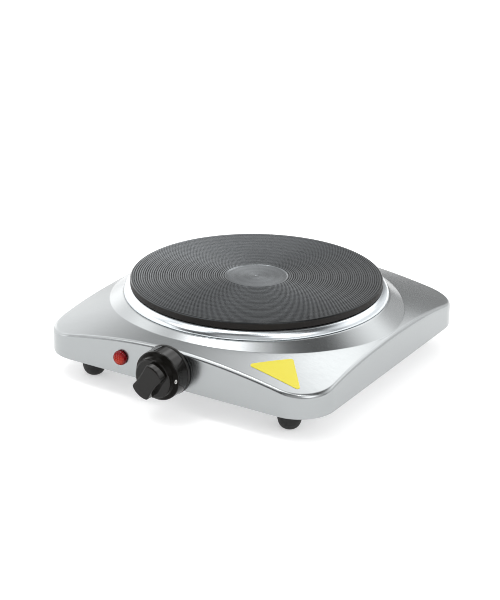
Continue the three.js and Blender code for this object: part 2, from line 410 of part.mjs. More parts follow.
// ------------------------------------------------------------------ plain label on the top sheet
{
  const A = [55.7, -103.5], B = [78.0, -80.0], C = [98.8, -105.3], r = 1.8, pts = [];
  const tri = [A, C, B];
  for (let i = 0; i < 3; i++) {
    const p = tri[(i + 2) % 3], q = tri[i], n = tri[(i + 1) % 3];
    const u = new THREE.Vector2(p[0] - q[0], p[1] - q[1]).normalize(), v = new THREE.Vector2(n[0] - q[0], n[1] - q[1]).normalize();
    const half = Math.acos(u.dot(v)) / 2, d = r / Math.tan(half), mid = u.clone().add(v).normalize().multiplyScalar(r / Math.sin(half));
    const cx = q[0] + mid.x, cy = q[1] + mid.y;
    const s = Math.atan2(q[1] + u.y * d - cy, q[0] + u.x * d - cx), e0 = Math.atan2(q[1] + v.y * d - cy, q[0] + v.x * d - cx);
    let e = e0; while (e < s) e += 2 * Math.PI; 
    for (let k = 0; k <= 4; k++) { const t = s + (e - s) * k / 4; pts.push([cx + r * Math.cos(t), cy + r * Math.sin(t)]); }
  }
  const prism = new THREE.ExtrudeGeometry(new THREE.Shape(v2(pts)), { depth: 30, bevelEnabled: false }).translate(0, 0, 10);
  const angles = Array.from({ length: 120 }, (_, i) => i * 3);
  const skin = strung(angles, (a) => {
    const t = topSheet(a), r0 = t.rc + 0.3, r1 = t.re - 0.5;
    return [[r0, t.at(r0) + 0.35], [r1, t.at(r1) + 0.35], [r1, t.at(r1) + 0.6], [r0, t.at(r0) + 0.6]];
  });
  add('blank_label', toGeometry(toSolid(prism).intersect(toSolid(skin))), M.yellow());
}

// ------------------------------------------------------------------ assembly
// stand the group on its feet and centre it front to back
const FRONT = HALF + GRIP_H, REAR = HALF + GLAND_OUT;
pieces.position.set(0, (FRONT - REAR) / 2, FOOT_H);
const burner = new THREE.Group();
burner.add(pieces);

export default burner;
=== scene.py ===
import json
import math

import bpy
import bmesh
from mathutils import Matrix, Vector, noise


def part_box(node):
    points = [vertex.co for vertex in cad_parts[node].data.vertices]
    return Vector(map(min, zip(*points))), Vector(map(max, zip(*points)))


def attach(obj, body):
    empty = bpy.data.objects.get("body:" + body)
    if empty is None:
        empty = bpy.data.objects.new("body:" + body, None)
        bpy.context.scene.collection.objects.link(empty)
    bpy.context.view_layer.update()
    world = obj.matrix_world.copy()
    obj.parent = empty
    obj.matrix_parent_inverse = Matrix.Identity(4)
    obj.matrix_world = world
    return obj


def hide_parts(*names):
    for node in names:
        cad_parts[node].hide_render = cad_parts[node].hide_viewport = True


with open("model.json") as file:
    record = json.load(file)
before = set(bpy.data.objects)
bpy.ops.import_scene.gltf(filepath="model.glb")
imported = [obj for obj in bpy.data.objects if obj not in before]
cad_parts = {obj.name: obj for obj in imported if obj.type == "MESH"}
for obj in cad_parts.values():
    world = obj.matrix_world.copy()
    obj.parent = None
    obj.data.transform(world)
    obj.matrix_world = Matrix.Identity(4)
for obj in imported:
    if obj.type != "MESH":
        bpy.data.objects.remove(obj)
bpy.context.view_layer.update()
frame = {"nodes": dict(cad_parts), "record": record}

# The drawing frame used below is in millimetres round the plate's axis, with Z = 0 at the
# lower edge of the housing skirt. row() turns it into the row frame in metres.
plate_lo, plate_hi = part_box("hot_plate")
house_lo, house_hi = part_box("top_housing")
DX = (plate_lo.x + plate_hi.x) * 500.0
DY = (plate_lo.y + plate_hi.y) * 500.0
DZ = house_lo.z * 1000.0
HALF = (house_hi.x - house_lo.x) * 500.0
PLATE_TOP = plate_hi.z * 1000.0 - DZ
PLATE_R = (plate_hi.x - plate_lo.x) * 500.0
KNOB_X, KNOB_Z, KNOB_TURN = -0.6, 13.3, 56.0
LAMP_X, LAMP_Z = -40.6, 12.6
GLAND_X, GLAND_Z = 50.0, 12.0
CORNER_R, SHEET = 27.5, 0.8
EDGE_Z, EDGE_R, EDGE_SLOPE, SIDE_DROP = 28.3, 112.9, 0.307, 3.6
COLLAR_R, COLLAR_Z, COLLAR_SLOPE = 97.3, 35.3, 0.7
LEDGE_Z, LEDGE_R = 35.1, 88.0
LIP_FRONT, LIP_SIDE = 3.3, 4.2
GROOVE_PITCH, GROOVE_DEPTH = 1.60, 0.30
FOOT_X, FOOT_Y = 82.0, 90.0


def row(p):
    return Vector(((p[0] + DX) * 0.001, (p[1] + DY) * 0.001, (p[2] + DZ) * 0.001))


# ---------------------------------------------------------------- mesh helpers
def mesh_object(name, verts, faces, smooth=True):
    """A mesh piece from points in drawing millimetres."""
    me = bpy.data.meshes.new(name)
    me.from_pydata([row(v) for v in verts], [], faces)
    me.validate()
    bm = bmesh.new()
    bm.from_mesh(me)
    bmesh.ops.remove_doubles(bm, verts=bm.verts, dist=1e-7)
    bmesh.ops.recalc_face_normals(bm, faces=bm.faces)
    bm.to_mesh(me)
    bm.free()
    for p in me.polygons:
        p.use_smooth = smooth
    ob = bpy.data.objects.new(name, me)
    bpy.context.scene.collection.objects.link(ob)
    return ob


def weighted(ob):
    m = ob.modifiers.new("normals", "WEIGHTED_NORMAL")
    m.keep_sharp = True
    m.weight = 80
    return ob


def soften(points, closed=True):
    """Rounds the corners of a polyline: points are (x, y) or (x, y, radius)."""
    out = []
    n = len(points)
    for i, p in enumerate(points):
        r = p[2] if len(p) > 2 else 0.0
        if r <= 0 or (not closed and i in (0, n - 1)):
            out.append((p[0], p[1]))
            continue
        a, b, c = Vector(points[i - 1][:2]), Vector(p[:2]), Vector(points[(i + 1) % n][:2])
        u, v = (a - b), (c - b)
        lu, lv = u.length, v.length
        u.normalize(); v.normalize()
        ang = math.acos(max(-1, min(1, u.dot(v))))
        if ang > math.pi - 0.02:
            out.append((p[0], p[1]))
            continue
        d = min(r / math.tan(ang / 2), 0.49 * lu, 0.49 * lv)
        rr = d * math.tan(ang / 2)
        mid = (u + v).normalized() * (rr / math.sin(ang / 2))
        cen = b + mid
        s, e = b + u * d - cen, b + v * d - cen
        turn = math.pi - ang
        seg = max(2, int(math.ceil(turn / math.radians(14))))
        sgn = 1.0 if s.x * e.y - s.y * e.x > 0 else -1.0
        for k in range(seg + 1):
            t = sgn * turn * k / seg
            q = Vector((s.x * math.cos(t) - s.y * math.sin(t), s.x * math.sin(t) + s.y * math.cos(t)))
            out.append((cen.x + q.x, cen.y + q.y))
    return out


def turned(name, profile, n=192, place=None, closed=True, smooth=True):
    """A piece turned about an axis. profile is (radius, height); place maps (x, y, h) to the drawing frame."""
    place = place or (lambda x, y, h: (x, y, h))
    pts = list(profile)
    verts, faces, rings = [], [], []
    for r, h in pts:
        if r < 1e-6:
            rings.append([len(verts)])
            verts.append(place(0, 0, h))
        else:
            ring = []
            for i in range(n):
                a = 2 * math.pi * i / n
                ring.append(len(verts))
                verts.append(place(r * math.cos(a), r * math.sin(a), h))
            rings.append(ring)
    m = len(pts)
    for j in range(m if closed else m - 1):
        A, B = rings[j], rings[(j + 1) % m]
        if len(A) == 1 and len(B) == 1:
            continue
        for i in range(n):
            k = (i + 1) % n
            if len(A) == 1:
                faces.append((A[0], B[i], B[k]))
            elif len(B) == 1:
                faces.append((A[i], B[0], A[k]))
            else:
                faces.append((A[i], B[i], B[k], A[k]))
    return mesh_object(name, verts, faces, smooth)


def facing_front(x0, z0):
    """Heights count outwards from the front panel."""
    return lambda x, y, h: (x0 + x, -HALF - h, z0 + y)


def facing_rear(x0, z0):
    return lambda x, y, h: (x0 - x, HALF + h, z0 + y)


def solid_outline(name, outline, z0, z1, holes=(), place=None, bevel=0.0, smooth=False):
    """An extruded outline with holes, by curve fill."""
    place = place or (lambda x, y, z: (x, y, z))
    cu = bpy.data.curves.new(name, "CURVE")
    cu.dimensions = "2D"
    cu.fill_mode = "BOTH"
    for loop in [outline, *holes]:
        sp = cu.splines.new("POLY")
        sp.points.add(len(loop) - 1)
        for i, (x, y) in enumerate(loop):
            sp.points[i].co = (x, y, 0, 1)
        sp.use_cyclic_u = True
    cu.extrude = (z1 - z0) / 2 - bevel
    cu.bevel_depth = bevel
    cu.bevel_resolution = 2
    cu.offset = -bevel if bevel else 0.0
    tmp = bpy.data.objects.new(name + "_tmp", cu)
    bpy.context.scene.collection.objects.link(tmp)
    dg = bpy.context.evaluated_depsgraph_get()
    me = bpy.data.meshes.new_from_object(tmp.evaluated_get(dg))
    bpy.data.objects.remove(tmp)
    bpy.data.curves.remove(cu)
    mid = (z0 + z1) / 2
    for v in me.vertices:
        v.co = row(place(v.co.x, v.co.y, v.co.z + mid))
    bm = bmesh.new()
    bm.from_mesh(me)
    bmesh.ops.remove_doubles(bm, verts=bm.verts, dist=2e-6)
    bmesh.ops.recalc_face_normals(bm, faces=bm.faces)
    bm.to_mesh(me)
    bm.free()
    me.name = name
    for p in me.polygons:
        p.use_smooth = smooth
    ob = bpy.data.objects.new(name, me)
    bpy.context.scene.collection.objects.link(ob)
    return ob


def cut_with(ob, *tools):
    for t in tools:
        m = ob.modifiers.new("cut", "BOOLEAN")
        m.operation = "DIFFERENCE"
        m.solver = "EXACT"
        m.object = t
    return bake_modifiers(ob, *tools)


def join_with(ob, *tools):
    for t in tools:
        m = ob.modifiers.new("join", "BOOLEAN")
        m.operation = "UNION"
        m.solver = "EXACT"
        m.object = t
    return bake_modifiers(ob, *tools)


def bake_modifiers(ob, *tools):
    dg = bpy.context.evaluated_depsgraph_get()
    dg.update()
    me = bpy.data.meshes.new_from_object(ob.evaluated_get(dg))
    ob.modifiers.clear()
    old = ob.data
    ob.data = me
    me.name = old.name + "_m"
    bpy.data.meshes.remove(old)
    for t in tools:
        bpy.data.objects.remove(t)
    return ob


def circle(r, n, x=0.0, y=0.0, start=0.0):
    return [(x + r * math.cos(start + 2 * math.pi * i / n), y + r * math.sin(start + 2 * math.pi * i / n)) for i in range(n)]


def squircle(half, r, per):
    pts, c = [], half - r
    for sx, sy, a0 in ((1, 1, 0), (-1, 1, 90), (-1, -1, 180), (1, -1, 270)):
        for i in range(per + 1):
            a = math.radians(a0 + 90 * i / per)
            pts.append((sx * c + r * math.cos(a), sy * c + r * math.sin(a)))
    return pts


def slot_loop(x, y, length, width, n=8):
    r, c = width / 2, length / 2 - width / 2
    return ([(x + c + r * math.cos(math.radians(-90 + 180 * i / n)), y + r * math.sin(math.radians(-90 + 180 * i / n))) for i in range(n + 1)]
            + [(x - c + r * math.cos(math.radians(90 + 180 * i / n)), y + r * math.sin(math.radians(90 + 180 * i / n))) for i in range(n + 1)])


# ---------------------------------------------------------------- material helpers
class Mat:
    def __init__(self, name):
        self.m = bpy.data.materials.new(name)
        self.m.use_nodes = True
        self.t = self.m.node_tree
        self.b = self.t.nodes["Principled BSDF"]
        self.out = self.t.nodes["Material Output"]

    def n(self, kind, **values):
        nd = self.t.nodes.new(kind)
        for k, v in values.items():
            if hasattr(nd, k):
                setattr(nd, k, v)
            else:
                nd.inputs[k.replace("_", " ")].default_value = v
        return nd

    def link(self, a, b):
        self.t.links.new(a, b)

    def set(self, **values):
        for k, v in values.items():
            self.b.inputs[k.replace("_", " ")].default_value = v
        return self

    def coords(self, scale=(1, 1, 1), rot=(0, 0, 0), loc=(0, 0, 0)):
        tc = self.n("ShaderNodeTexCoord")
        mp = self.n("ShaderNodeMapping")
        mp.inputs["Scale"].default_value = scale
        mp.inputs["Rotation"].default_value = rot
        mp.inputs["Location"].default_value = loc
        self.link(tc.outputs["Object"], mp.inputs["Vector"])
        return mp.outputs["Vector"]

    def noise(self, vec, scale, detail=3.0, rough=0.55, dist=0.0):
        nz = self.n("ShaderNodeTexNoise")
        nz.inputs["Scale"].default_value = scale
        nz.inputs["Detail"].default_value = detail
        nz.inputs["Roughness"].default_value = rough
        nz.inputs["Distortion"].default_value = dist
        self.link(vec, nz.inputs["Vector"])
        return nz.outputs["Fac"]

    def ramp(self, fac, stops):
        r = self.n("ShaderNodeValToRGB")
        el = r.color_ramp.elements
        while len(el) < len(stops):
            el.new(0.5)
        for e, (p, c) in zip(el, stops):
            e.position = p
            e.color = c if len(c) == 4 else (*c, 1)
        self.link(fac, r.inputs["Fac"])
        return r.outputs["Color"]

    def span(self, fac, a, b, lo=0.0, hi=1.0):
        r = self.n("ShaderNodeMapRange")
        r.inputs["From Min"].default_value = lo
        r.inputs["From Max"].default_value = hi
        r.inputs["To Min"].default_value = a
        r.inputs["To Max"].default_value = b
        self.link(fac, r.inputs["Value"])
        return r.outputs["Result"]

    def math(self, op, a, b=None, c=None):
        nd = self.n("ShaderNodeMath")
        nd.operation = op
        for i, v in enumerate((a, b, c)):
            if v is None:
                continue
            if isinstance(v, (int, float)):
                nd.inputs[i].default_value = v
            else:
                self.link(v, nd.inputs[i])
        return nd.outputs[0]

    def bump(self, height, strength, distance, normal=None):
        bp = self.n("ShaderNodeBump")
        bp.inputs["Strength"].default_value = strength
        bp.inputs["Distance"].default_value = distance
        self.link(height, bp.inputs["Height"])
        if normal is not None:
            self.link(normal, bp.inputs["Normal"])
        return bp.outputs["Normal"]


def lin(r, g, b):
    f = lambda c: (c / 255 / 12.92) if c / 255 <= 0.04045 else ((c / 255 + 0.055) / 1.055) ** 2.4
    return (f(r), f(g), f(b), 1)


def give(ob, mat):
    ob.data.materials.clear()
    ob.data.materials.append(mat)
    return ob


# ---------------------------------------------------------------- materials
def stainless():
    m = Mat("stainless_satin")
    m.set(Base_Color=(0.41, 0.422, 0.422, 1), Metallic=1.0, Roughness=0.24)
    v = m.coords()
    # long directional grain across the front, with a faint cloudiness from pressing
    grain = m.noise(m.coords(scale=(14, 900, 900)), 1.0, 4, 0.6)
    cloud = m.noise(v, 9.0, 3, 0.5)
    rough = m.math("ADD", m.span(grain, -0.05, 0.05), m.span(cloud, 0.19, 0.29))
    m.link(rough, m.b.inputs["Roughness"])
    tone = m.n("ShaderNodeMix", data_type="RGBA")
    tone.inputs["A"].default_value = (0.352, 0.367, 0.372, 1)
    tone.inputs["B"].default_value = (0.378, 0.393, 0.398, 1)
    m.link(cloud, tone.inputs["Factor"])
    m.link(tone.outputs["Result"], m.b.inputs["Base Color"])
    m.link(m.bump(grain, 0.10, 0.00002), m.b.inputs["Normal"])
    return m.m


def polished():
    m = Mat("polished_steel")
    m.set(Base_Color=(0.655, 0.695, 0.725, 1), Metallic=1.0)
    v = m.coords()
    m.link(m.span(m.noise(v, 60.0, 4, 0.6), 0.17, 0.24), m.b.inputs["Roughness"])
    m.link(m.bump(m.noise(v, 22.0, 2, 0.5), 0.02, 0.0001), m.b.inputs["Normal"])
    return m.m


def cast_iron():
    """Turned iron: fine circular grooves with worn, lighter lands; the darker groove bottoms are painted shade."""
    m = Mat("cast_iron_turned")
    m.set(Metallic=0.9, Anisotropic=0.7, Anisotropic_Rotation=0.25)
    v = m.coords()
    at_axis = m.coords(loc=(-DX * 0.001, -DY * 0.001, 0))
    xyz = m.n("ShaderNodeSeparateXYZ")
    m.link(at_axis, xyz.inputs[0])
    rad = m.math("SQRT", m.math("ADD", m.math("MULTIPLY", xyz.outputs["X"], xyz.outputs["X"]), m.math("MULTIPLY", xyz.outputs["Y"], xyz.outputs["Y"])))

    def groove(start, pitch):
        f = m.math("FRACT", m.math("DIVIDE", m.math("SUBTRACT", rad, (start - pitch * 10.48) * 0.001), pitch * 0.001))
        return m.math("ABSOLUTE", m.math("SUBTRACT", f, 0.5))          # 0 on the land, 0.5 in the groove

    outside = m.math("GREATER_THAN", rad, 0.0229)
    deep = m.span(groove(23.0, GROOVE_PITCH), 0.0, 1.0, 0.17, 0.27)
    fine = m.span(groove(2.2, 0.94), -0.12, 0.36, 0.1, 0.45)
    depth = m.math("ADD", m.math("MULTIPLY", deep, outside), m.math("MULTIPLY", fine, m.math("SUBTRACT", 1.0, outside)))
    cloud = m.noise(v, 14.0, 4, 0.6)
    grit = m.noise(v, 1100.0, 3, 0.6)
    tone = m.n("ShaderNodeMix", data_type="RGBA")
    tone.inputs["A"].default_value = (0.280, 0.296, 0.308, 1)
    tone.inputs["B"].default_value = (0.012, 0.013, 0.014, 1)
    # slow rings left by the lathe's chatter
    chatter = m.math("SINE", m.math("MULTIPLY", rad, 2 * math.pi / 0.0066))
    # painted light: the colour is paler at the back left and darker at the front right, a painted highlight and shade
    # set for the look from the front, not a known feature of the iron
    side = m.math("ADD", m.math("MULTIPLY", xyz.outputs["X"], -0.94), m.math("MULTIPLY", xyz.outputs["Y"], 0.342))
    gain = m.math("MULTIPLY", m.span(side, 0.38, 1.27, -0.092, 0.092), m.math("SUBTRACT", 1.06, m.math("MULTIPLY", outside, 0.13)))
    worn = m.math("ADD", m.span(cloud, -0.08, 0.12), m.math("MULTIPLY", chatter, 0.07))
    rim = m.span(rad, 0.0, 0.8, 0.0904, 0.0916)
    # painted shade: the tone's dark end fills the groove hollows and the fine rings in the middle. The plate's outer
    # edge goes darker too.
    m.link(m.math("ADD", m.math("MAXIMUM", m.math("MULTIPLY", depth, 0.95), rim), worn), tone.inputs["Factor"])
    paler = m.n("ShaderNodeVectorMath", operation="SCALE")
    m.link(tone.outputs["Result"], paler.inputs[0])
    m.link(gain, paler.inputs["Scale"])
    m.link(paler.outputs[0], m.b.inputs["Base Color"])
    m.link(m.math("ADD", m.span(depth, 0.26, 0.46), m.span(cloud, -0.04, 0.06)), m.b.inputs["Roughness"])
    m.link(m.bump(grit, 0.10, 0.00003), m.b.inputs["Normal"])
    tan = m.n("ShaderNodeTangent")
    tan.direction_type = "RADIAL"
    tan.axis = "Z"
    m.link(tan.outputs["Tangent"], m.b.inputs["Tangent"])
    return m.m


def zinc():
    m = Mat("zinc_plated")
    m.set(Metallic=1.0, Roughness=0.4)
    v = m.coords()
    spangle = m.n("ShaderNodeTexVoronoi")
    spangle.inputs["Scale"].default_value = 130.0
    m.link(v, spangle.inputs["Vector"])
    tone = m.n("ShaderNodeMix", data_type="RGBA")
    tone.inputs["A"].default_value = (0.44, 0.45, 0.46, 1)
    tone.inputs["B"].default_value = (0.60, 0.61, 0.62, 1)
    m.link(spangle.outputs["Distance"], tone.inputs["Factor"])
    m.link(tone.outputs["Result"], m.b.inputs["Base Color"])
    m.link(m.span(m.noise(v, 40.0, 3), 0.32, 0.5), m.b.inputs["Roughness"])
    m.link(m.bump(m.noise(v, 500.0, 2), 0.15, 0.00003), m.b.inputs["Normal"])
    return m.m


def black_plastic(name, rough, bump, gloss):
    m = Mat(name)
    m.set(Base_Color=lin(38, 37, 34), Roughness=rough, Specular_IOR_Level=gloss)
    v = m.coords()
    n1 = m.noise(v, 900.0, 3, 0.6)
    m.link(m.span(m.noise(v, 70.0, 3), rough * 0.8, rough * 1.2), m.b.inputs["Roughness"])
    tone = m.n("ShaderNodeMix", data_type="RGBA")
    tone.inputs["A"].default_value = (0.0040, 0.0036, 0.0030, 1)
    tone.inputs["B"].default_value = (0.0065, 0.0060, 0.0052, 1)
    m.link(m.noise(v, 30.0, 3), tone.inputs["Factor"])
    m.link(tone.outputs["Result"], m.b.inputs["Base Color"])
    m.link(m.bump(n1, bump, 0.00003), m.b.inputs["Normal"])
    return m.m


def rubber():
    m = Mat("black_rubber")
    m.set(Roughness=0.7)
    v = m.coords()
    tone = m.n("ShaderNodeMix", data_type="RGBA")
    tone.inputs["A"].default_value = (0.006, 0.006, 0.006, 1)
    tone.inputs["B"].default_value = (0.014, 0.0138, 0.0135, 1)
    m.link(m.noise(v, 120.0, 4), tone.inputs["Factor"])
    m.link(tone.outputs["Result"], m.b.inputs["Base Color"])
    m.link(m.span(m.noise(v, 300.0, 3), 0.55, 0.8), m.b.inputs["Roughness"])
    m.link(m.bump(m.noise(v, 1500.0, 3), 0.3, 0.00004), m.b.inputs["Normal"])
    return m.m


def red_lens():
    """Clear red moulding: over the prisms the colour is brighter and slightly orange, a painted glow strongest towards
    the bottom; the thick rim is darkened in colour, painted shade.
    """
    m = Mat("red_lens")
    m.set(Roughness=0.08, IOR=1.49, Transmission_Weight=0.12, Specular_IOR_Level=0.15)
    v = m.coords()
    at_lamp = m.coords(loc=(-(LAMP_X + DX) * 0.001, 0, -(LAMP_Z + DZ) * 0.001))
    xyz = m.n("ShaderNodeSeparateXYZ")
    m.link(at_lamp, xyz.inputs[0])
    rad = m.math("SQRT", m.math("ADD", m.math("MULTIPLY", xyz.outputs["X"], xyz.outputs["X"]), m.math("MULTIPLY", xyz.outputs["Z"], xyz.outputs["Z"])))
    # painted shade darkens the rim; a painted glow lightens the lens towards the bottom
    rim = m.span(rad, 0.0, 1.0, 0.0033, 0.0050)
    painted_glow_low = m.span(xyz.outputs["Z"], 0.0, 1.0, 0.0035, -0.0035)
    painted_glow = m.n("ShaderNodeMix", data_type="RGBA")
    painted_glow.inputs["A"].default_value = (0.265, 0.0035, 0.007, 1)
    painted_glow.inputs["B"].default_value = (0.52, 0.044, 0.016, 1)
    m.link(m.math("ADD", m.math("MULTIPLY", painted_glow_low, 0.8), m.span(m.noise(v, 260.0, 2), 0.0, 0.2)), painted_glow.inputs["Factor"])
    tone = m.n("ShaderNodeMix", data_type="RGBA")
    m.link(painted_glow.outputs["Result"], tone.inputs["A"])
    tone.inputs["B"].default_value = (0.190, 0.0030, 0.007, 1)
    m.link(rim, tone.inputs["Factor"])
    m.link(tone.outputs["Result"], m.b.inputs["Base Color"])
    m.link(m.span(m.noise(v, 500.0, 2), 0.05, 0.12), m.b.inputs["Roughness"])
    return m.m


def yellow_film():
    m = Mat("yellow_film")
    m.set(Roughness=0.35)
    v = m.coords()
    tone = m.n("ShaderNodeMix", data_type="RGBA")
    tone.inputs["A"].default_value = lin(214, 200, 34)
    tone.inputs["B"].default_value = lin(220, 208, 60)
    m.link(m.noise(v, 40.0, 3), tone.inputs["Factor"])
    m.link(tone.outputs["Result"], m.b.inputs["Base Color"])
    m.link(m.span(m.noise(v, 200.0, 3), 0.28, 0.42), m.b.inputs["Roughness"])
    m.link(m.bump(m.noise(v, 350.0, 3), 0.15, 0.00003), m.b.inputs["Normal"])
    return m.m


def plain(name, a, b, rough, metal=0.0, scale=200.0, bump=0.2, gloss=0.5):
    m = Mat(name)
    m.set(Metallic=metal, Specular_IOR_Level=gloss)
    v = m.coords()
    tone = m.n("ShaderNodeMix", data_type="RGBA")
    tone.inputs["A"].default_value = (*a, 1)
    tone.inputs["B"].default_value = (*b, 1)
    m.link(m.noise(v, scale, 4), tone.inputs["Factor"])
    m.link(tone.outputs["Result"], m.b.inputs["Base Color"])
    m.link(m.span(m.noise(v, scale * 0.4, 3), rough * 0.8, rough * 1.2), m.b.inputs["Roughness"])
    m.link(m.bump(m.noise(v, scale * 6, 2), bump, 0.00003), m.b.inputs["Normal"])
    return m.m


STAINLESS, POLISHED, IRON, ZINC = stainless(), polished(), cast_iron(), zinc()
IRON_SIDE = plain("cast_iron_side", (0.006, 0.0048, 0.004), (0.012, 0.0095, 0.008), 0.55, 0, 120, 0.5, 0.25)
KNOB_BLACK = black_plastic("knob_gloss", 0.09, 0.01, 0.28)
DIAL_BLACK = black_plastic("dial_rim", 0.12, 0.01, 0.05)
BEZEL_BLACK = black_plastic("bezel_satin", 0.34, 0.08, 0.4)
RUBBER, LENS, YELLOW = rubber(), red_lens(), yellow_film()
WHITE_PRINT = plain("dial_white", (0.62, 0.62, 0.60), (0.72, 0.72, 0.70), 0.5, 0, 300, 0.05)

# ---------------------------------------------------------------- camera
cam = bpy.data.cameras.new("camera")
cam.sensor_fit = "VERTICAL"
cam.sensor_height = 36.0
cam.sensor_width = 36.0
cam.lens = 1661.57 * 36.0 / 600.0
cam.clip_start, cam.clip_end = 0.05, 50
camera = bpy.data.objects.new("camera", cam)
bpy.context.scene.collection.objects.link(camera)
R = Vector((0.85127008, 0.52458313, 0.01232034))
U = Vector((-0.20331783, 0.30810791, 0.9293715))
D = Vector((-0.48373661, 0.79365109, -0.36894015))
loc = row((587.353, -972.681, 477.612))
camera.matrix_world = Matrix(((R.x, U.x, -D.x, loc.x), (R.y, U.y, -D.y, loc.y), (R.z, U.z, -D.z, loc.z), (0, 0, 0, 1)))
bpy.context.scene.camera = camera

# ---------------------------------------------------------------- housing
def square_radius(half, r, a):
    c, s, k = abs(math.cos(a)), abs(math.sin(a)), half - r
    if c > s and half * s / c <= k:
        return half / c
    if s >= c and half * c / s <= k:
        return half / s
    b = k * (c + s)
    return b + math.sqrt(b * b - (2 * k * k - r * r))


def folded(a):
    return math.degrees(math.atan2(abs(math.sin(a)), abs(math.cos(a))))


def lip_radius(a):
    t = min(1, max(0, (folded(a) - 38) / 16))
    w = t * t * (3 - 2 * t)
    return LIP_SIDE + (LIP_FRONT - LIP_SIDE) * w


def top_sheet(a):
    """The collar's foot (crease) and the top sheet's edge in the half plane at angle a."""
    f = folded(a)
    bump = lambda width: 0.5 + 0.5 * math.cos(math.pi * f / width) if f < width else 0.0
    zc = 31.2 - 4.35 * math.cos(math.radians(f)) ** 2 - 1.1 * bump(32)
    rc = COLLAR_R + (COLLAR_Z - zc) / COLLAR_SLOPE
    re = square_radius(HALF, CORNER_R, a)
    ze = EDGE_Z - EDGE_SLOPE * (re - EDGE_R) - SIDE_DROP * bump(46)
    return rc, zc, re, ze, (zc - ze) / (re - rc)


def sheet_height(x, y):
    rc, zc, re, ze, s = top_sheet(math.atan2(y, x))
    return zc - s * (math.hypot(x, y) - rc)


def housing_section(a):
    """The sheet's section in the half plane at angle a, outside then inside, as (radius, height)."""
    rc, zc, re, ze, s = top_sheet(a)
    tilt = math.atan(s)
    h = math.tan((math.pi / 2 - tilt) / 2)
    ri = square_radius(HALF - SHEET, CORNER_R - SHEET, a)
    lip = lip_radius(a)
    t0, t1 = SHEET / math.cos(tilt), SHEET * math.hypot(1, COLLAR_SLOPE)

    def edge(r, z, rad, seg):
        t = rad * h
        pts = []
        for k in range(seg + 1):
            q = (math.pi / 2 - tilt) * k / seg
            pts.append((r - rad + rad * math.cos(q), z - t + rad * math.sin(q)))
        return pts

    outer = edge(re, ze, lip, 14)
    zi = zc - s * (ri - rc) - t0
    inner = edge(ri, zi, max(0.8, lip - SHEET), 8)
    r0, r1 = outer[-1][0], rc
    top = [(r0 + (r1 - r0) * t, zc - s * (r0 + (r1 - r0) * t - rc)) for t in (0.1, 0.28, 0.5, 0.72, 0.88)]
    k = 0.35                                    # half width of the crease's own small radius
    crease = [(rc + k, zc - s * k), (rc + k * 0.4, zc - s * k * 0.4 + 0.012), (rc - k * 0.4, zc + COLLAR_SLOPE * k * 0.4 + 0.012), (rc - k, zc + COLLAR_SLOPE * k)]
    c0, c1 = rc - k, 98.5
    line = lambda r: COLLAR_Z - COLLAR_SLOPE * (r - COLLAR_R)
    collar = [(c0 + (c1 - c0) * t, line(c0 + (c1 - c0) * t)) for t in (0.2, 0.4, 0.6, 0.8, 1.0)]
    shoulder = [(98.1, 34.70), (97.6, 34.93), (97.0, 35.06), (96.3, LEDGE_Z), (92.0, LEDGE_Z), (LEDGE_R + 0.15, LEDGE_Z), (LEDGE_R, LEDGE_Z - 0.15)]
    rk = rc - (t1 - t0) / (COLLAR_SLOPE - s)
    zk = zc - s * (rk - rc) - t0
    under = [(LEDGE_R, LEDGE_Z - SHEET + 0.1), (LEDGE_R + 0.1, LEDGE_Z - SHEET), (96.2, LEDGE_Z - SHEET), (97.0, LEDGE_Z - SHEET - 0.12), (97.8, line(97.8) - t1),
             (97.8 + (rk - 97.8) * 0.5, line(97.8 + (rk - 97.8) * 0.5) - t1), (rk, zk)]
    skirt_out = [(re - 0.22, 0.0), (re - 0.06, 0.06), (re, 0.22), (re, 3.0), (re, outer[0][1] * 0.55), (re, outer[0][1] - 1.0)]
    skirt_in = [(ri, inner[0][1] - 1.0), (ri, 3.0), (ri, 0.22), (ri + 0.06, 0.06), (ri + 0.22, 0.0)]
    return skirt_out + outer + top + crease + collar + shoulder + under + inner[::-1] + skirt_in


def build_housing():
    edge = math.degrees(math.atan((HALF - CORNER_R) / HALF))
    angles = []
    for q in range(4):
        for i in range(44):
            angles.append(q * 90 - edge + 2 * edge * i / 44)
        for i in range(26):
            angles.append(q * 90 + edge + (90 - 2 * edge) * i / 26)
    verts, faces, rows = [], [], []
    for a in angles:
        a = math.radians(a)
        sec = housing_section(a)
        rows.append(len(verts))
        k = len(sec)
        for r, z in sec:
            verts.append((r * math.cos(a), r * math.sin(a), z))
    n = len(angles)
    for i in range(n):
        for j in range(k):
            a, b = rows[i] + j, rows[(i + 1) % n] + j
            c, d = rows[(i + 1) % n] + (j + 1) % k, rows[i] + (j + 1) % k
            faces.append((a, b, c, d))
    ob = mesh_object("housing_shell", verts, faces)
    holes = [turned("hole", [(0, -6), (r, -6), (r, 3), (0, 3)], 48, facing_front(x, z), closed=False)
             for r, x, z in ((5.15, KNOB_X, KNOB_Z), (2.0, KNOB_X - 12, KNOB_Z), (2.0, KNOB_X + 12, KNOB_Z), (4.75, LAMP_X, LAMP_Z))]
    holes.append(turned("hole", [(0, -6), (6.0, -6), (6.0, 3), (0, 3)], 48, facing_rear(GLAND_X, GLAND_Z), closed=False))
    cut_with(ob, *holes)
    weighted(ob)
    return give(ob, STAINLESS)


def put(ob, body, slot_name, *nodes):
    """Rides ob on a body, in place of the CAD nodes it stands for."""
    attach(ob, body)
    if nodes:
        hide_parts(*nodes)
    return ob


put(build_housing(), "body", "stainless", "top_housing")


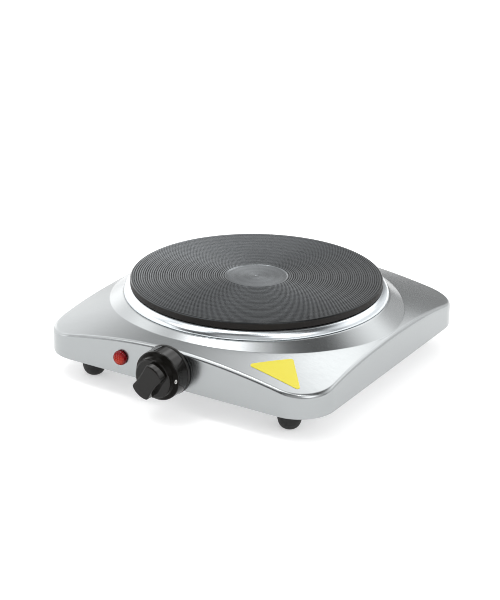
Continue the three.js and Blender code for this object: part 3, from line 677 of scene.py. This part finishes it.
# ---------------------------------------------------------------- hot plate
def build_plate():
    prof = [(0.0, PLATE_TOP - 0.75), (0.9, PLATE_TOP - 0.72), (1.6, PLATE_TOP - 0.5), (2.2, PLATE_TOP - 0.45), *[(2.7 + 0.47 * k, PLATE_TOP - (0.45 if k % 2 else 0.50)) for k in range(39)], (21.6, PLATE_TOP - 0.45), (22.3, PLATE_TOP - 0.42), (22.6, PLATE_TOP - 0.08), (22.8, PLATE_TOP)]
    pitch, depth = GROOVE_PITCH, GROOVE_DEPTH
    r = 23.0
    while r + pitch < 90.6:
        prof += [(r + pitch * 0.24, PLATE_TOP), (r + pitch * 0.38, PLATE_TOP - depth * 0.8), (r + pitch * 0.52, PLATE_TOP - depth),
                 (r + pitch * 0.66, PLATE_TOP - depth * 0.8), (r + pitch * 0.80, PLATE_TOP)]
        r += pitch
    prof += soften([(r + 0.3, PLATE_TOP), (PLATE_R - 0.75, PLATE_TOP - 0.12, 0.7), (PLATE_R, PLATE_TOP - 1.0, 0.8), (PLATE_R, 41.3, 0.3), (91.3, 41.3, 0.2), (91.3, 35.5, 0.5),
                    (87.3, 35.5, 0.3), (86.9, 31.0, 0.6), (83.8, 31.0, 0.6), (83.3, 37.0, 0.6), (8.3, 37.0, 0.6), (8.3, 32.2, 0.5), (3.4, 32.2, 0.2), (3.4, 41.0), (0, 41.0)], closed=False)
    ob = turned("cast_plate", prof, 320, closed=False)
    give(ob, IRON)
    ob.data.materials.append(IRON_SIDE)
    edge = (PLATE_TOP - 0.3 + DZ) * 0.001
    for p in ob.data.polygons:
        if p.center.z < edge - 0.0003 and (p.center.xy - Vector((DX, DY)) * 0.001).length > 0.0885 or p.center.z < 0.0415 + DZ * 0.001:
            p.material_index = 1
    return weighted(ob)


put(build_plate(), "body", "cast_iron", "hot_plate")

sweep = []
for k in range(19):
    t = k / 18
    # a quarter round that already falls away at the plate's edge
    ang = math.radians(14 + 74 * t)
    sweep.append((math.sin(ang), math.cos(ang)))
x0, y0, x1, y1 = sweep[0][0], sweep[0][1], sweep[-1][0], sweep[-1][1]
outer = [(91.75 + 5.35 * (x - x0) / (x1 - x0), 35.2 + 5.73 * (y - y1) / (y0 - y1)) for x, y in sweep]
inner = [(91.75 + 4.45 * (x - x0) / (x1 - x0), 35.2 + 5.0 * (y - y1) / (y0 - y1)) for x, y in sweep]
ring = turned("overflow_ring", outer + inner[::-1], 320)
weighted(give(ring, POLISHED))
put(ring, "body", "polished_steel", "trim_ring")


# ---------------------------------------------------------------- knob
def layered(name, outline, layers, place, cap_top=True, cap_bottom=True):
    """A solid from one outline: each layer is (inset along the outline's own normals, height)."""
    n = len(outline)
    nrm = []
    for i in range(n):
        a, b = Vector(outline[i - 1]), Vector(outline[(i + 1) % n])
        t = (b - a).normalized()
        nrm.append(Vector((t.y, -t.x)))
    area = sum(outline[i][0] * outline[(i + 1) % n][1] - outline[(i + 1) % n][0] * outline[i][1] for i in range(n))
    sg = 1.0 if area > 0 else -1.0
    verts, faces = [], []
    for d, h in layers:
        for i, (x, y) in enumerate(outline):
            verts.append(place(x - sg * nrm[i].x * d, y - sg * nrm[i].y * d, h))
    for j in range(len(layers) - 1):
        for i in range(n):
            k = (i + 1) % n
            faces.append((j * n + i, j * n + k, (j + 1) * n + k, (j + 1) * n + i))
    cx, cy = sum(p[0] for p in outline) / n, sum(p[1] for p in outline) / n
    for cap, j in ((cap_bottom, 0), (cap_top, len(layers) - 1)):
        if cap:
            d, h = layers[j]
            c = len(verts)
            verts.append(place(cx, cy, h))
            for i in range(n):
                faces.append((j * n + i, j * n + (i + 1) % n, c))
    return mesh_object(name, verts, faces)


def knob_place(angle=0.0):
    ca, sa = math.cos(math.radians(angle)), math.sin(math.radians(angle))
    return lambda x, y, h: (KNOB_X + x * ca - y * sa, -HALF - h, KNOB_Z + x * sa + y * ca)


RIM_R, RIM_H, DISC_R, DISC_H, GRIP_H, GRIP_W = 17.6, 14.3, 14.2, 19.6, 26.3, 15.4


def build_knob():
    prof = soften([
        (0, 16.5), (3.4, 16.5, 0.2), (3.4, 3.6, 0.2), (5.8, 3.6, 0.3), (5.8, 16.4, 0.5), (12.2, 16.6, 0.8), (14.9, 12.9, 0.8), (16.4, 2.9, 0.2),
        (17.9, 2.9, 0.35), (RIM_R + 0.1, RIM_H - 0.9, 1.2), (RIM_R - 0.9, RIM_H + 0.3, 0.9), (DISC_R + 0.75, RIM_H + 1.5, 0.5),
        (DISC_R + 0.05, DISC_H - 0.6, 0.6), (DISC_R - 0.9, DISC_H, 0.7), (0, DISC_H)], closed=False)
    body = turned("knob_dial", prof, 160, facing_front(KNOB_X, KNOB_Z), closed=False)
    w, r = GRIP_W / 2, DISC_R - 0.4
    a = math.asin(w / r)
    corner = []
    for k in range(17):
        t = -a + 2 * a * k / 16
        corner.append((r * math.cos(t), r * math.sin(t)))
    side = [(r * math.cos(a) * (1 - 2 * k / 24), w - 0.9 * math.sin(math.pi * k / 24)) for k in range(1, 24)]
    outline = corner + side + [(-x, -y) for x, y in corner] + [(-x, -y) for x, y in side]
    # the pointer end runs out to the disc's edge, the other end stops short of it
    outline = [(x - 1.6 * min(1, max(0, 0.5 + 0.5 * x / (r * math.cos(a)))), y) for x, y in outline]
    # round off the four upright edges of the bar
    soft = [Vector(p) for p in outline]
    for _ in range(3):
        soft = [(soft[i - 1] + soft[i] * 2 + soft[(i + 1) % len(soft)]) / 4 for i in range(len(soft))]
    outline = [(p.x, p.y) for p in soft]
    top = GRIP_H - 0.12
    layers = [(0.0, 17.6), (0.0, 18.7), (0.05, 20.5), (0.15, 22.6), (0.22, top - 0.85), (0.3, top - 0.5), (0.46, top - 0.24), (0.72, top - 0.07), (1.05, top), (1.5, top + 0.01)]
    grip = layered("grip", outline, layers, knob_place(KNOB_TURN))
    flat = layered("flat", [(-3.9, 2.4), (3.9, 2.4), (3.9, 4.4), (-3.9, 4.4)], [(0, 6.5), (0, 11.0), (0, 16.45)], knob_place(0))
    join_with(body, grip, flat)
    body.data.set_sharp_from_angle(angle=math.radians(40))   # a crisp foot where the bar stands on the disc
    weighted(body)
    give(body, KNOB_BLACK)
    # the sloping band that carries the dial, and the step up to the disc
    body.data.materials.append(DIAL_BLACK)
    axis = Vector(knob_place()(0, 0, 0))
    for p in body.data.polygons:
        x, h, z = p.center.x - (axis.x + DX) * 0.001, -p.center.y - (-axis.y - DY) * 0.001, p.center.z - (axis.z + DZ) * 0.001
        rad = math.hypot(x, z) * 1000
        if 14.0 < rad < 17.3 and 13.9 < h * 1000 < 19.3:
            p.material_index = 1
    return body


knob = put(build_knob(), "dial", "black_gloss", "knob")


def build_numerals():
    """A raised 0 on the sloping face of the dial, upright at the right."""
    lo_r, hi_r = DISC_R + 1.0, RIM_R - 1.0
    slope = math.atan2((RIM_H + 1.5) - (RIM_H + 0.3), hi_r - lo_r)
    mid_r, mid_h = (lo_r + hi_r) / 2 + 0.30, RIM_H + 0.81
    verts, faces = [], []
    for k in range(1):
        cu = bpy.data.curves.new("figure", "FONT")
        cu.body = str(k)
        cu.size = 4.1
        cu.align_x, cu.align_y = "CENTER", "CENTER"
        cu.extrude = 0.12
        cu.bevel_depth = 0.03
        cu.resolution_u = 3
        cu.shear = 0.12
        cu.offset = 0.03
        ob = bpy.data.objects.new("figure", cu)
        bpy.context.scene.collection.objects.link(ob)
        dg = bpy.context.evaluated_depsgraph_get()
        me = bpy.data.meshes.new_from_object(ob.evaluated_get(dg))
        xs = [v.co.x for v in me.vertices]; ys = [v.co.y for v in me.vertices]
        cx, cy = (min(xs) + max(xs)) / 2, (min(ys) + max(ys)) / 2
        ang = math.radians(0.8)
        base = len(verts)
        for v in me.vertices:
            u, t, n = (v.co.x - cx) * 0.86, v.co.y - cy, v.co.z
            rad = mid_r + u * math.cos(slope) + n * math.sin(slope)
            hgt = mid_h - u * math.sin(slope) + n * math.cos(slope)
            phi = ang + t / mid_r
            verts.append((KNOB_X + rad * math.cos(phi), -HALF - hgt, KNOB_Z + rad * math.sin(phi)))
        faces += [tuple(base + i for i in p.vertices) for p in me.polygons]
        bpy.data.objects.remove(ob); bpy.data.curves.remove(cu); bpy.data.meshes.remove(me)
    return give(mesh_object("dial_figures", verts, faces, False), WHITE_PRINT)


put(build_numerals(), "dial", "black_gloss")

# ---------------------------------------------------------------- bezel
bezel = turned("bezel_ring", soften([
    (5.15, 0.35, 0.1), (17.7, 0.35, 0.1), (18.1, 0.5, 0.2), (18.2, 1.0, 0.3), (18.2, 1.8, 0.5), (17.7, 2.35, 0.4), (17.2, 2.4, 0.2), (16.8, 2.0, 0.3), (16.3, 2.0, 0.3), (15.9, 2.4, 0.2), (5.15, 2.4, 0.2)]), 160, facing_front(KNOB_X, KNOB_Z))
sinks = [turned("sink", [(0, -0.5), (2.0, -0.5), (2.0, 0.7), (3.9, 2.6), (0, 2.6)], 40, facing_front(KNOB_X + x, KNOB_Z), closed=False) for x in (-12, 12)]
cut_with(bezel, *sinks)
weighted(give(bezel, BEZEL_BLACK))
put(bezel, "body", "black_matte", "knob_bezel")


# ---------------------------------------------------------------- pilot lens
def build_lens():
    """A red dome cut with crossed prisms, a plain flange round it and a tube through the panel."""
    place = facing_front(LAMP_X, LAMP_Z)
    n, rings = 120, 26
    dome_r, verts, faces = 4.6, [], []

    def dome(x, y):
        r = math.hypot(x, y) / dome_r
        h = 2.45 + 1.42 * math.sqrt(max(0.0, 1 - (0.93 * r) ** 2))
        tri = lambda v: abs((v * 0.55) % 1.0 - 0.5) * 2
        cutv = tri(x) + tri(y)
        fade = max(0.0, min(1.0, (1 - r) / 0.12))
        return h - 0.26 * cutv * fade

    prof_in = [(0, 1.2), (3.0, 0.9), (3.1, 0.7), (3.1, -6.4), (3.2, -6.5), (4.25, -6.5), (4.35, -6.4), (4.35, 0.35), (5.15, 0.35), (5.3, 0.5), (5.3, 1.25), (5.2, 1.75), (4.95, 2.15), (4.7, 2.4)]
    ringidx = []
    for r, h in prof_in:
        if r < 1e-6:
            ringidx.append([len(verts)]); verts.append(place(0, 0, h)); continue
        row_i = []
        for i in range(n):
            a = 2 * math.pi * i / n
            row_i.append(len(verts)); verts.append(place(r * math.cos(a), r * math.sin(a), h))
        ringidx.append(row_i)
    for k in range(rings, 0, -1):
        r = dome_r * k / rings
        row_i = []
        for i in range(n):
            a = 2 * math.pi * i / n
            x, y = r * math.cos(a), r * math.sin(a)
            row_i.append(len(verts)); verts.append(place(x, y, dome(x, y)))
        ringidx.append(row_i)
    ringidx.append([len(verts)]); verts.append(place(0, 0, dome(0, 0)))
    for A, B in zip(ringidx, ringidx[1:]):
        for i in range(n):
            k = (i + 1) % n
            if len(A) == 1:
                faces.append((A[0], B[i], B[k]))
            elif len(B) == 1:
                faces.append((A[i], B[0], A[k]))
            else:
                faces.append((A[i], B[i], B[k], A[k]))
    ob = mesh_object("lens_prismatic", verts, faces, False)
    return give(ob, LENS)


put(build_lens(), "body", "red_lens", "pilot_lens")


# ---------------------------------------------------------------- feet and fixings
def at(x0, y0, z0):
    return lambda x, y, h: (x0 + x, y0 + y, z0 + h)


def down_at(x0, y0, z0):
    return lambda x, y, h: (x0 + x, y0 - y, z0 - h)


def screw(name, place, head, length, shank, head_h, cross, top_r=None):
    """A pan or countersunk head with a cross recess, on a plain shank. Heights run from under the head (0) outwards."""
    top_r = head * 0.62 if top_r is None else top_r
    prof = soften([(0, -length), (shank - 0.3, -length), (shank, -length + 0.4), (shank, 0.0, 0.05), (head - 0.05, 0.0, 0.05), (head, head_h * 0.35, 0.15),
                   (head * 0.93, head_h * 0.72, 0.5), (top_r, head_h, 0.9), (0, head_h)], closed=False)
    ob = turned(name, prof, 56, place, closed=False)
    c, w, d = cross, cross * 0.24, head_h * 0.62
    plus = [(c, w / 2), (w / 2 + 0.1, w / 2 + 0.1), (w / 2, c), (-w / 2, c), (-w / 2 - 0.1, w / 2 + 0.1), (-c, w / 2), (-c, -w / 2), (-w / 2 - 0.1, -w / 2 - 0.1), (-w / 2, -c), (w / 2, -c), (w / 2 + 0.1, -w / 2 - 0.1), (c, -w / 2)]
    tool = layered("plus", plus, [(0.12, head_h - d), (0.0, head_h + 0.5)], place)
    cut_with(ob, tool)
    weighted(give(ob, ZINC))
    return ob


FEET = (("front_left", -1, -1), ("front_right", 1, -1), ("rear_left", -1, 1), ("rear_right", 1, 1))
FLOOR = -DZ
for where, sx, sy in FEET:
    x0, y0 = sx * FOOT_X, sy * FOOT_Y
    top = -FLOOR + 1.0 - 0.3
    foot = turned("rubber_foot_" + where, soften([
        (3.5, 0.25, 0.1), (3.8, 0.0, 0.15), (4.4, 0.0, 0.6), (5.75, 0.9, 1.6), (6.95, 2.3, 2.2), (7.85, 4.3, 3.0), (8.4, 6.7, 3.5), (8.6, 9.4, 2.0), (8.65, 14.4, 0.1), (8.45, 14.6, 0.15), (8.45, 15.3, 0.15),
        (8.65, 15.5, 0.1), (8.65, top - 0.2, 0.15), (8.5, top, 0.1), (2.2, top, 0.1), (2.2, 8.0, 0.1), (3.5, 8.0, 0.3)]), 96, at(x0, y0, FLOOR))
    weighted(give(foot, RUBBER))
    put(foot, "body", "rubber", "foot_" + where)
    put(screw("screw_" + where, down_at(x0, y0, FLOOR + 7.6), 3.15, 18.1, 1.65, 2.25, 1.9), "body", "zinc_steel", "foot_screw_" + where)


def build_nut(name, x0, y0, z0, af, bore, h):
    hexagon = []
    for k in range(6):
        a0, a1 = math.radians(60 * k), math.radians(60 * (k + 1))
        R = af / math.sqrt(3)
        for t in range(6):
            u = t / 6
            hexagon.append(((1 - u) * R * math.cos(a0) + u * R * math.cos(a1), (1 - u) * R * math.sin(a0) + u * R * math.sin(a1)))
    ob = layered(name, hexagon, [(0.35, 0.0), (0.0, 0.35), (0.0, h - 0.35), (0.35, h)], at(x0, y0, z0))
    hole = turned("hole", [(0, -1), (bore + 0.45, -1), (bore + 0.45, 0.0), (bore, 0.45), (bore, h - 0.45), (bore + 0.45, h), (bore + 0.45, h + 1), (0, h + 1)], 40, at(x0, y0, z0), closed=False)
    cut_with(ob, hole)
    return weighted(give(ob, ZINC))


for where, sx, sy in FEET:
    put(build_nut("nut_" + where, sx * FOOT_X, sy * FOOT_Y, 3.6, 6.6, 2.1, 2.8), "body", "zinc_steel", "foot_nut_" + where)
put(screw("screw_earth", at(47, 62, 2.1), 3.15, 3.7, 1.7, 2.0, 1.9), "body", "zinc_steel", "earth_screw")
put(screw("screw_block", at(18, 94.5, 14.8), 3.05, 16.4, 1.6, 1.8, 1.8), "body", "zinc_steel", "mains_block_screw")


# ---------------------------------------------------------------- base plate
def build_base():
    """The bottom sheet: vent slots and screw holes."""
    half, r = HALF - SHEET - 0.6, CORNER_R - SHEET - 0.6
    holes = [circle(2.3, 32, sx * FOOT_X, sy * FOOT_Y) for _, sx, sy in FEET]
    for y in (-62, -54, -46, 46, 54, 62):
        for x in (-26, 12):
            holes.append(slot_loop(x, y, 24, 3.2, 10))
    holes += [circle(2.2, 32, 47, 62), circle(2.2, 32, 18, 94.5)]
    ob = solid_outline("bottom_sheet", squircle(half, r, 20), 1.0, 1.8, holes, bevel=0.12, smooth=False)
    return give(ob, ZINC)


put(build_base(), "body", "zinc_steel", "base_plate")


# ---------------------------------------------------------------- cable gland
def build_gland():
    """A round flange with a ribbed collar outside the panel and a lock ring inside."""
    place = facing_rear(GLAND_X, GLAND_Z)
    prof = soften([(3.7, -4.2, 0.2), (7.4, -4.2, 0.2), (7.4, -1.2, 0.2), (5.6, -1.2, 0.1), (5.6, 0.35, 0.1), (8.2, 0.35, 0.2), (8.2, 1.3, 0.35), (7.5, 1.7, 0.3), (7.25, 2.0, 0.1),
                   (6.75, 4.5, 0.5), (6.2, 5.2, 0.4), (4.5, 5.2, 0.4), (3.7, 4.6, 0.4)])
    n = 144
    verts, faces = [], []
    for i in range(n):
        a = 2 * math.pi * i / n
        for r, h in prof:
            rr = r
            if 1.9 < h < 4.7 and r > 6.0:
                rr -= 0.28 * (0.5 + 0.5 * math.cos(18 * a)) ** 2
            verts.append(place(rr * math.cos(a), rr * math.sin(a), h))
    k = len(prof)
    for i in range(n):
        for j in range(k):
            a, b = i * k + j, ((i + 1) % n) * k + j
            faces.append((a, b, ((i + 1) % n) * k + (j + 1) % k, i * k + (j + 1) % k))
    ob = mesh_object("gland_ribbed", verts, faces)
    return weighted(give(ob, BEZEL_BLACK))


put(build_gland(), "body", "black_matte", "cable_gland")


# ---------------------------------------------------------------- plain label
def build_label():
    """A thin blank film lying on the top sheet, a triangle with rounded corners."""
    tri = [(55.7, -103.5), (98.8, -105.3), (78.0, -80.0)]
    outline = soften([(x, y, 1.8) for x, y in tri])
    dense = []
    for i, p in enumerate(outline):
        q = outline[(i + 1) % len(outline)]
        steps = max(1, int(math.hypot(q[0] - p[0], q[1] - p[1]) / 1.2))
        for k in range(steps):
            dense.append((p[0] + (q[0] - p[0]) * k / steps, p[1] + (q[1] - p[1]) * k / steps))
    n = len(dense)
    cx, cy = sum(p[0] for p in tri) / 3, sum(p[1] for p in tri) / 3
    verts, faces = [], []
    layers = [(k / 12, 0.03) for k in range(1, 13)] + [(1.0, 0.17)] + [(0.9985, 0.20)] + [(k / 12 * 0.997, 0.205) for k in range(11, 0, -1)]
    verts.append((cx, cy, sheet_height(cx, cy) + 0.03))
    for t, off in layers:
        for x, y in dense:
            px, py = cx + (x - cx) * t, cy + (y - cy) * t
            verts.append((px, py, sheet_height(px, py) + off))
    last = len(verts)
    verts.append((cx, cy, sheet_height(cx, cy) + 0.205))
    for i in range(n):
        k = (i + 1) % n
        faces.append((0, 1 + i, 1 + k))
        for j in range(len(layers) - 1):
            faces.append((1 + j * n + i, 1 + j * n + k, 1 + (j + 1) * n + k, 1 + (j + 1) * n + i))
        faces.append((1 + (len(layers) - 1) * n + i, 1 + (len(layers) - 1) * n + k, last))
    ob = mesh_object("label_blank_film", verts, faces)
    return weighted(give(ob, YELLOW))


put(build_label(), "body", "label_yellow", "blank_label")

# ---------------------------------------------------------------- finishes for the pieces kept from CAD
KEPT = {
    "stainless": STAINLESS, "polished_steel": POLISHED, "cast_iron": IRON, "zinc_steel": ZINC, "rubber": RUBBER,
    "black_gloss": KNOB_BLACK, "black_matte": BEZEL_BLACK, "red_lens": LENS, "label_yellow": YELLOW,
    "ceramic": plain("steatite", (0.66, 0.62, 0.53), (0.74, 0.70, 0.61), 0.55, 0, 160, 0.2),
    "mineral_board": plain("mineral_board", (0.40, 0.37, 0.31), (0.60, 0.56, 0.48), 0.92, 0, 260, 0.8),
    "brass": plain("brass_stamped", (0.56, 0.38, 0.13), (0.70, 0.50, 0.20), 0.30, 1.0, 90, 0.1),
    "lamp_glass": plain("lamp_glass", (0.80, 0.62, 0.50), (0.88, 0.72, 0.60), 0.08, 0, 60, 0.02),
    "heating_wire": plain("heating_wire", (0.20, 0.18, 0.17), (0.34, 0.31, 0.29), 0.5, 0.9, 300, 0.4),
    "lead_brown": plain("lead_brown", (0.12, 0.045, 0.02), (0.17, 0.065, 0.03), 0.5, 0, 200, 0.1),
    "lead_blue": plain("lead_blue", (0.03, 0.09, 0.34), (0.05, 0.12, 0.42), 0.5, 0, 200, 0.1),
    "lead_green": plain("lead_green", (0.10, 0.30, 0.05), (0.16, 0.38, 0.08), 0.5, 0, 200, 0.1),
    "lead_white": plain("lead_white_braid", (0.58, 0.55, 0.49), (0.72, 0.69, 0.62), 0.75, 0, 700, 0.6),
}
for entry in frame["record"]["subparts"]:
    ob = frame["nodes"].get(entry["node"])
    if ob is not None and ob.type == "MESH":
        for s in ob.material_slots:
            s.material = KEPT[entry["material_slot"]]

# ---------------------------------------------------------------- lights and floor
floor = mesh_object("floor", [(-30000, -30000, -DZ), (30000, -30000, -DZ), (30000, 30000, -DZ), (-30000, 30000, -DZ)], [(0, 1, 2, 3)], False)
fm = Mat("floor")
fm.set(Base_Color=(0.8, 0.8, 0.8, 1), Roughness=0.9)
fm.b.inputs["Specular IOR Level"].default_value = 0.0
fm.b.inputs["Emission Color"].default_value = (1.0, 1.0, 1.0, 1)
fm.b.inputs["Emission Strength"].default_value = 0.41    # a lit table, as for cut-out product shots
give(floor, fm.m)

world = bpy.data.worlds.new("studio")
bpy.context.scene.world = world
world.use_nodes = True
wt = world.node_tree
bg = wt.nodes["Background"]


def wnode(kind, **kw):
    nd = wt.nodes.new(kind)
    for k, v in kw.items():
        setattr(nd, k, v)
    return nd


def wmath(op, a, b=None):
    nd = wnode("ShaderNodeMath", operation=op)
    for i, v in enumerate((a, b)):
        if v is None:
            continue
        if isinstance(v, (int, float)):
            nd.inputs[i].default_value = v
        else:
            wt.links.new(v, nd.inputs[i])
    return nd.outputs[0]


tc = wnode("ShaderNodeTexCoord")
norm = wnode("ShaderNodeVectorMath", operation="NORMALIZE")
wt.links.new(tc.outputs["Generated"], norm.inputs[0])


def patch(direction, inner, outer, level):
    """A soft round patch of light in the sky: angles in degrees from its middle."""
    d = Vector(direction).normalized()
    dot = wnode("ShaderNodeVectorMath", operation="DOT_PRODUCT")
    wt.links.new(norm.outputs[0], dot.inputs[0])
    dot.inputs[1].default_value = d
    mr = wnode("ShaderNodeMapRange", interpolation_type="SMOOTHERSTEP")
    mr.inputs["From Min"].default_value = math.cos(math.radians(outer))
    mr.inputs["From Max"].default_value = math.cos(math.radians(inner))
    mr.inputs["To Min"].default_value = 0.0
    mr.inputs["To Max"].default_value = level
    wt.links.new(dot.outputs["Value"], mr.inputs["Value"])
    return mr.outputs["Result"]


def az(azimuth, elevation):
    """Direction by azimuth (0 along +X, 90 along +Y) and elevation."""
    a, e = math.radians(azimuth), math.radians(elevation)
    return (math.cos(a) * math.cos(e), math.sin(a) * math.cos(e), math.sin(e))


# soft boxes: azimuth, elevation, where the fall-off starts and ends (degrees), level
SOFT_BOXES = [
    (-150, 72, 4, 20, 3.30),
    (-25, 36, 4, 22, 2.60),
    (-130, 43, 4, 22, 2.30),
    (93, 44, 4, 22, 1.90),
    (173, 12, 16, 50, 1.58),
    (-142, 8, 6, 20, 1.50),
    (115, 36, 4, 18, 1.10),
    (108, 8, 8, 26, 0.30),
    (-30, 65, 4, 18, 1.30),
    (-90, 86, 4, 14, 1.17),
    (60, 39, 4, 22, 1.05),
    (55, 6, 16, 50, 1.05),
    (-17, 16, 10, 34, 0.80),
    (28, 33, 4, 22, 0.70),
    (178, 47, 4, 22, 0.74),
    (108, 61, 4, 22, 0.70),
    (140, 8, 4, 22, 0.69),
    (127, 53, 4, 18, 0.55),
    (-68, 24, 10, 32, 0.55),
    (-152, 71, 1, 4, 22.0),
    (-38, 67, 1, 4, 16.0),
]
total = 0.08
for a, e, inner, outer, level in SOFT_BOXES:
    total = wmath("ADD", patch(az(a, e), inner, outer, level), total)
wt.links.new(total, bg.inputs["Strength"])
bg.inputs["Color"].default_value = (1.0, 1.0, 1.0, 1)

sc = bpy.context.scene
sc.view_settings.view_transform = "Standard"
sc.view_settings.look = "None"
sc.render.film_transparent = False
sc.cycles.max_bounces = 8
sc.cycles.filter_width = 1.0
sc.cycles.use_denoising = True
